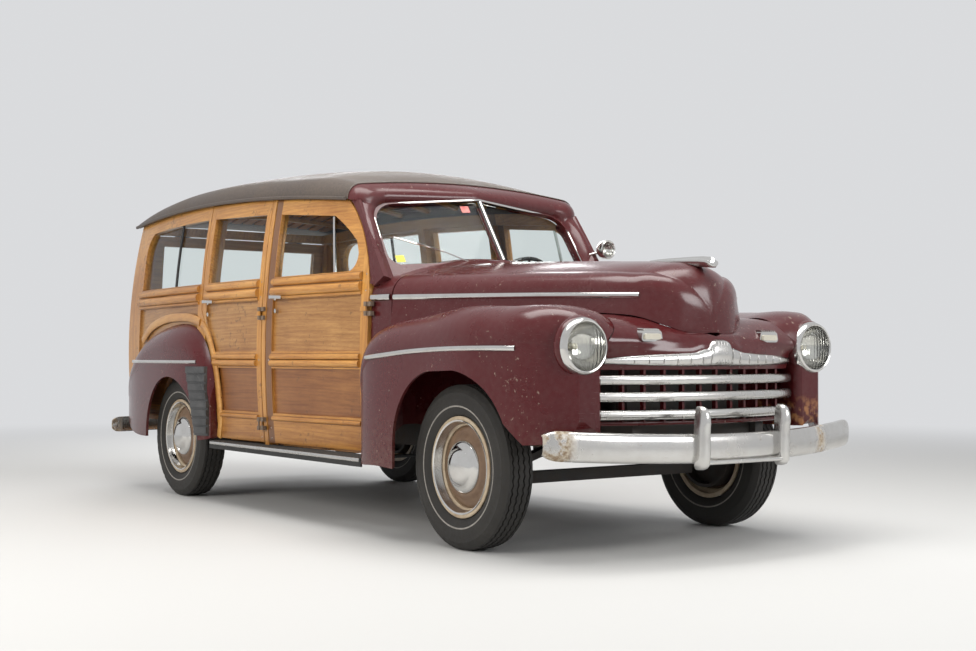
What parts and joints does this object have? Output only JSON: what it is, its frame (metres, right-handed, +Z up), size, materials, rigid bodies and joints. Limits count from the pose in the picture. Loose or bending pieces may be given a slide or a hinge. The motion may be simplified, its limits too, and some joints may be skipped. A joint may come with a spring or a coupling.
{
  "type": "station wagon",
  "caption": "Wood-bodied station wagon of the 1940s with steel front end, four hinged doors, split rear gate, lifting hood and steered wheels.",
  "frame": {"origin": "middle of the bounding box's bottom, on the road under the car", "axes": "+X to the car's left, front of the car towards -Y, +Z up"},
  "size_m": [1.8635, 5.013, 1.8975],
  "materials": {
    "maroon_paint": "worn maroon lacquer",
    "ash_wood": "aged amber varnish",
    "roof_cloth": "coated dark grained cloth",
    "chrome": "aged bright plating",
    "glass": "clear",
    "tyre_rubber": "matte",
    "wheel_paint": "tan lacquer",
    "rubber_black": "matte",
    "seat_leather": "worn",
    "chassis_black": "satin black",
    "engine_iron": "dull",
    "radiator_black": "matte black",
    "exhaust_steel": "dull",
    "floor_paint": "matte",
    "hinge_steel": "aged",
    "column_black": "gloss black",
    "wheel_plastic": "gloss black"
  },
  "bodies": {
    "body": {"body_frame": "ash_wood", "chassis_frame": "chassis_black", "cowl": "maroon_paint", "dashboard": "maroon_paint", "engine": "engine_iron", "exhaust": "exhaust_steel", "floor": "floor_paint", "front_axle": "chassis_black", "front_bumper": "chrome", "front_wings": "maroon_paint", "fuel_tank": "chassis_black", "grille": "chrome", "grille_crown": "chrome", "hinges": "hinge_steel", "lamp_lenses": "glass", "lamps": "chrome", "nose_panel": "maroon_paint", "quarter_glass": "glass", "radiator": "radiator_black", "rear_axle": "chassis_black", "rear_bumper": "chrome", "rear_wings": "maroon_paint", "roof": "roof_cloth", "roof_header": "maroon_paint", "running_boards": "rubber_black", "seats": "seat_leather", "springs": "chassis_black", "steering_column": "column_black", "windscreen": "glass", "wing_pads": "rubber_black"},
    "hood": {"hood": "maroon_paint", "hood_ornament": "chrome"},
    "liftgate": {"liftgate": "ash_wood", "liftgate_glass": "glass"},
    "tailgate": {"tailgate": "ash_wood"},
    "steering_wheel": {"steering_wheel": "wheel_plastic"},
    "knuckle_left": {"knuckle_left": "chassis_black"},
    "knuckle_right": {"knuckle_right": "chassis_black"},
    "front_door_left": {"front_door_left": "ash_wood", "front_door_glass_left": "glass"},
    "front_wheel_left": {"tyre_front_left": "tyre_rubber", "wheel_front_left": "wheel_paint"},
    "rear_door_left": {"rear_door_left": "ash_wood", "rear_door_glass_left": "glass"},
    "rear_wheel_left": {"tyre_rear_left": "tyre_rubber", "wheel_rear_left": "wheel_paint"},
    "front_door_right": {"front_door_right": "ash_wood", "front_door_glass_right": "glass"},
    "front_wheel_right": {"tyre_front_right": "tyre_rubber", "wheel_front_right": "wheel_paint"},
    "rear_door_right": {"rear_door_right": "ash_wood", "rear_door_glass_right": "glass"},
    "rear_wheel_right": {"tyre_rear_right": "tyre_rubber", "wheel_rear_right": "wheel_paint"}
  },
  "joints": [
    {"name": "hood_hinge", "type": "hinge", "parent": "body", "child": "hood", "pos_m": [0, -0.8705, 1.297], "axis": [-1, 0, 0], "range_deg": [0, 50]},
    {"name": "front_door_left_hinge", "type": "hinge", "parent": "body", "child": "front_door_left", "pos_m": [0.75316, -0.7085, 0.85], "axis": [0, 0, -1], "range_deg": [0, 65]},
    {"name": "rear_door_left_hinge", "type": "hinge", "parent": "body", "child": "rear_door_left", "pos_m": [0.83404, 0.2655, 0.85], "axis": [0, 0, -1], "range_deg": [0, 65]},
    {"name": "front_door_right_hinge", "type": "hinge", "parent": "body", "child": "front_door_right", "pos_m": [-0.75316, -0.7085, 0.85], "axis": [0, 0, 1], "range_deg": [0, 65]},
    {"name": "rear_door_right_hinge", "type": "hinge", "parent": "body", "child": "rear_door_right", "pos_m": [-0.83404, 0.2655, 0.85], "axis": [0, 0, 1], "range_deg": [0, 65]},
    {"name": "liftgate_hinge", "type": "hinge", "parent": "body", "child": "liftgate", "pos_m": [0, 2.24488, 1.623], "axis": [1, 0, 0], "range_deg": [0, 75]},
    {"name": "tailgate_hinge", "type": "hinge", "parent": "body", "child": "tailgate", "pos_m": [0, 2.29517, 0.639], "axis": [-1, 0, 0], "range_deg": [0, 90]},
    {"name": "steering_left", "type": "hinge", "parent": "body", "child": "knuckle_left", "pos_m": [0.6125, -1.5765, 0.355], "axis": [0, 0, 1], "range_deg": [-28, 28]},
    {"name": "steering_right", "type": "hinge", "parent": "body", "child": "knuckle_right", "pos_m": [-0.6125, -1.5765, 0.355], "axis": [0, 0, 1], "range_deg": [-28, 28]},
    {"name": "steering_wheel_turn", "type": "hinge", "parent": "body", "child": "steering_wheel", "pos_m": [0.37, -0.4465, 1.18], "axis": [0, 0.8601, 0.5101], "range_deg": [-448, 448]},
    {"name": "front_wheel_left_spin", "type": "hinge", "parent": "knuckle_left", "child": "front_wheel_left", "pos_m": [0.7365, -1.5765, 0.355], "axis": [1, 0, 0], "continuous": true},
    {"name": "rear_wheel_left_spin", "type": "hinge", "parent": "body", "child": "rear_wheel_left", "pos_m": [0.762, 1.3195, 0.355], "axis": [1, 0, 0], "continuous": true},
    {"name": "front_wheel_right_spin", "type": "hinge", "parent": "knuckle_right", "child": "front_wheel_right", "pos_m": [-0.7365, -1.5765, 0.355], "axis": [1, 0, 0], "continuous": true},
    {"name": "rear_wheel_right_spin", "type": "hinge", "parent": "body", "child": "rear_wheel_right", "pos_m": [-0.762, 1.3195, 0.355], "axis": [1, 0, 0], "continuous": true}
  ],
  "couplings": [
    {"joint": "steering_right", "follows": "steering_left", "ratio": 1},
    {"joint": "steering_wheel_turn", "follows": "steering_left", "ratio": 16}
  ]
}
